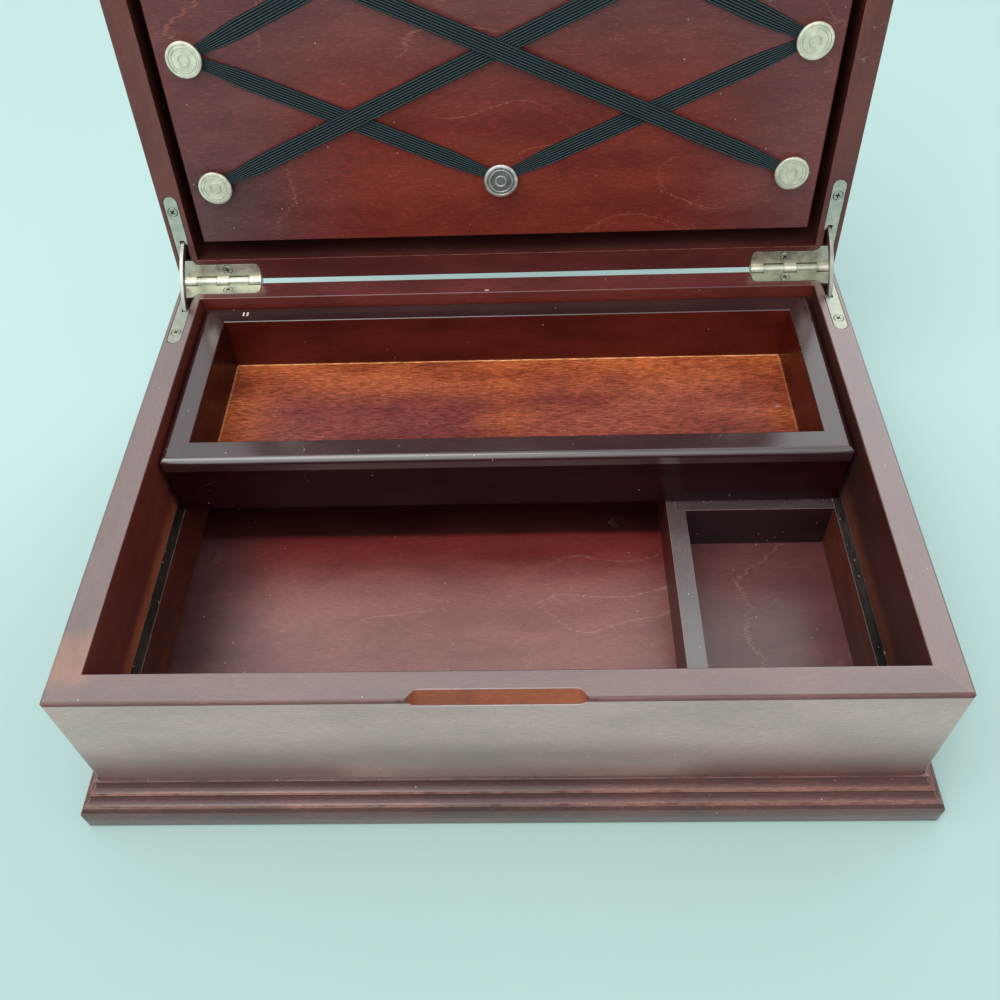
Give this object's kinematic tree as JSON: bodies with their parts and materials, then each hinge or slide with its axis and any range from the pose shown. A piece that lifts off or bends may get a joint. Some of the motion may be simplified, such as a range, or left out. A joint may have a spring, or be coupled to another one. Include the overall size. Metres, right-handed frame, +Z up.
{
  "type": "jewelry box",
  "caption": "Wooden jewelry box with a moulded base, sliding tray, divided compartments and a hinged lid with a ribbon board, standing open.",
  "frame": {"origin": "centre of the case's underside, on the surface that the box stands on", "axes": "+X to the right of someone at the front, along the long side; +Y towards the hinges; +Z up"},
  "size_m": [0.3396, 0.295, 0.3137],
  "materials": {
    "stained_wood": "semi-gloss",
    "panel_wood": "satin",
    "plain_wood": "matte",
    "base_cover": "matte",
    "hinge_metal": "satin",
    "button_metal": "satin",
    "elastic": "matte"
  },
  "bodies": {
    "case": {"front_wall": "stained_wood", "back_wall": "stained_wood", "left_wall": "stained_wood", "right_wall": "stained_wood", "floor_panel": "panel_wood", "base_panel": "base_cover", "front_moulding": "stained_wood", "back_moulding": "stained_wood", "left_moulding": "stained_wood", "right_moulding": "stained_wood", "left_lining": "stained_wood", "right_lining": "stained_wood", "divider": "stained_wood", "cross_divider": "stained_wood", "left_case_leaf": "hinge_metal", "right_case_leaf": "hinge_metal"},
    "lid": {"lid_front_rail": "stained_wood", "lid_back_rail": "stained_wood", "lid_left_rail": "stained_wood", "lid_right_rail": "stained_wood", "lid_top_panel": "stained_wood", "ribbon_board": "panel_wood", "left_batten": "plain_wood", "right_batten": "plain_wood", "ribbon_a": "elastic", "ribbon_b": "elastic", "ribbon_c": "elastic", "ribbon_d": "elastic", "ribbon_e": "elastic", "ribbon_f": "elastic", "ribbon_buttons": "button_metal", "left_lid_leaf": "hinge_metal", "right_lid_leaf": "hinge_metal", "left_pin": "hinge_metal", "right_pin": "hinge_metal"},
    "left_stay": {"left_stay": "hinge_metal"},
    "right_stay": {"right_stay": "hinge_metal"},
    "tray": {"tray_front_wall": "stained_wood", "tray_back_wall": "stained_wood", "tray_left_wall": "stained_wood", "tray_right_wall": "stained_wood", "tray_floor": "panel_wood"}
  },
  "joints": [
    {"name": "lid_hinge", "type": "hinge", "parent": "case", "child": "lid", "pos_m": [0, 0.1166, 0.0828], "axis": [1, 0, 0], "range_deg": [0, 96.2]},
    {"name": "left_stay_hinge", "type": "hinge", "parent": "case", "child": "left_stay", "pos_m": [-0.154, 0.1166, 0.0828], "axis": [1, 0, 0], "range_deg": [0, 48.1]},
    {"name": "right_stay_hinge", "type": "hinge", "parent": "case", "child": "right_stay", "pos_m": [0.154, 0.1166, 0.0828], "axis": [1, 0, 0], "range_deg": [0, 48.1]},
    {"name": "tray_slide", "type": "slide", "parent": "case", "child": "tray", "axis": [0, -1, 0], "range_m": [0, 0.104]}
  ],
  "couplings": [
    {"joint": "left_stay_hinge", "follows": "lid_hinge", "ratio": 0.5},
    {"joint": "right_stay_hinge", "follows": "lid_hinge", "ratio": 0.5}
  ]
}
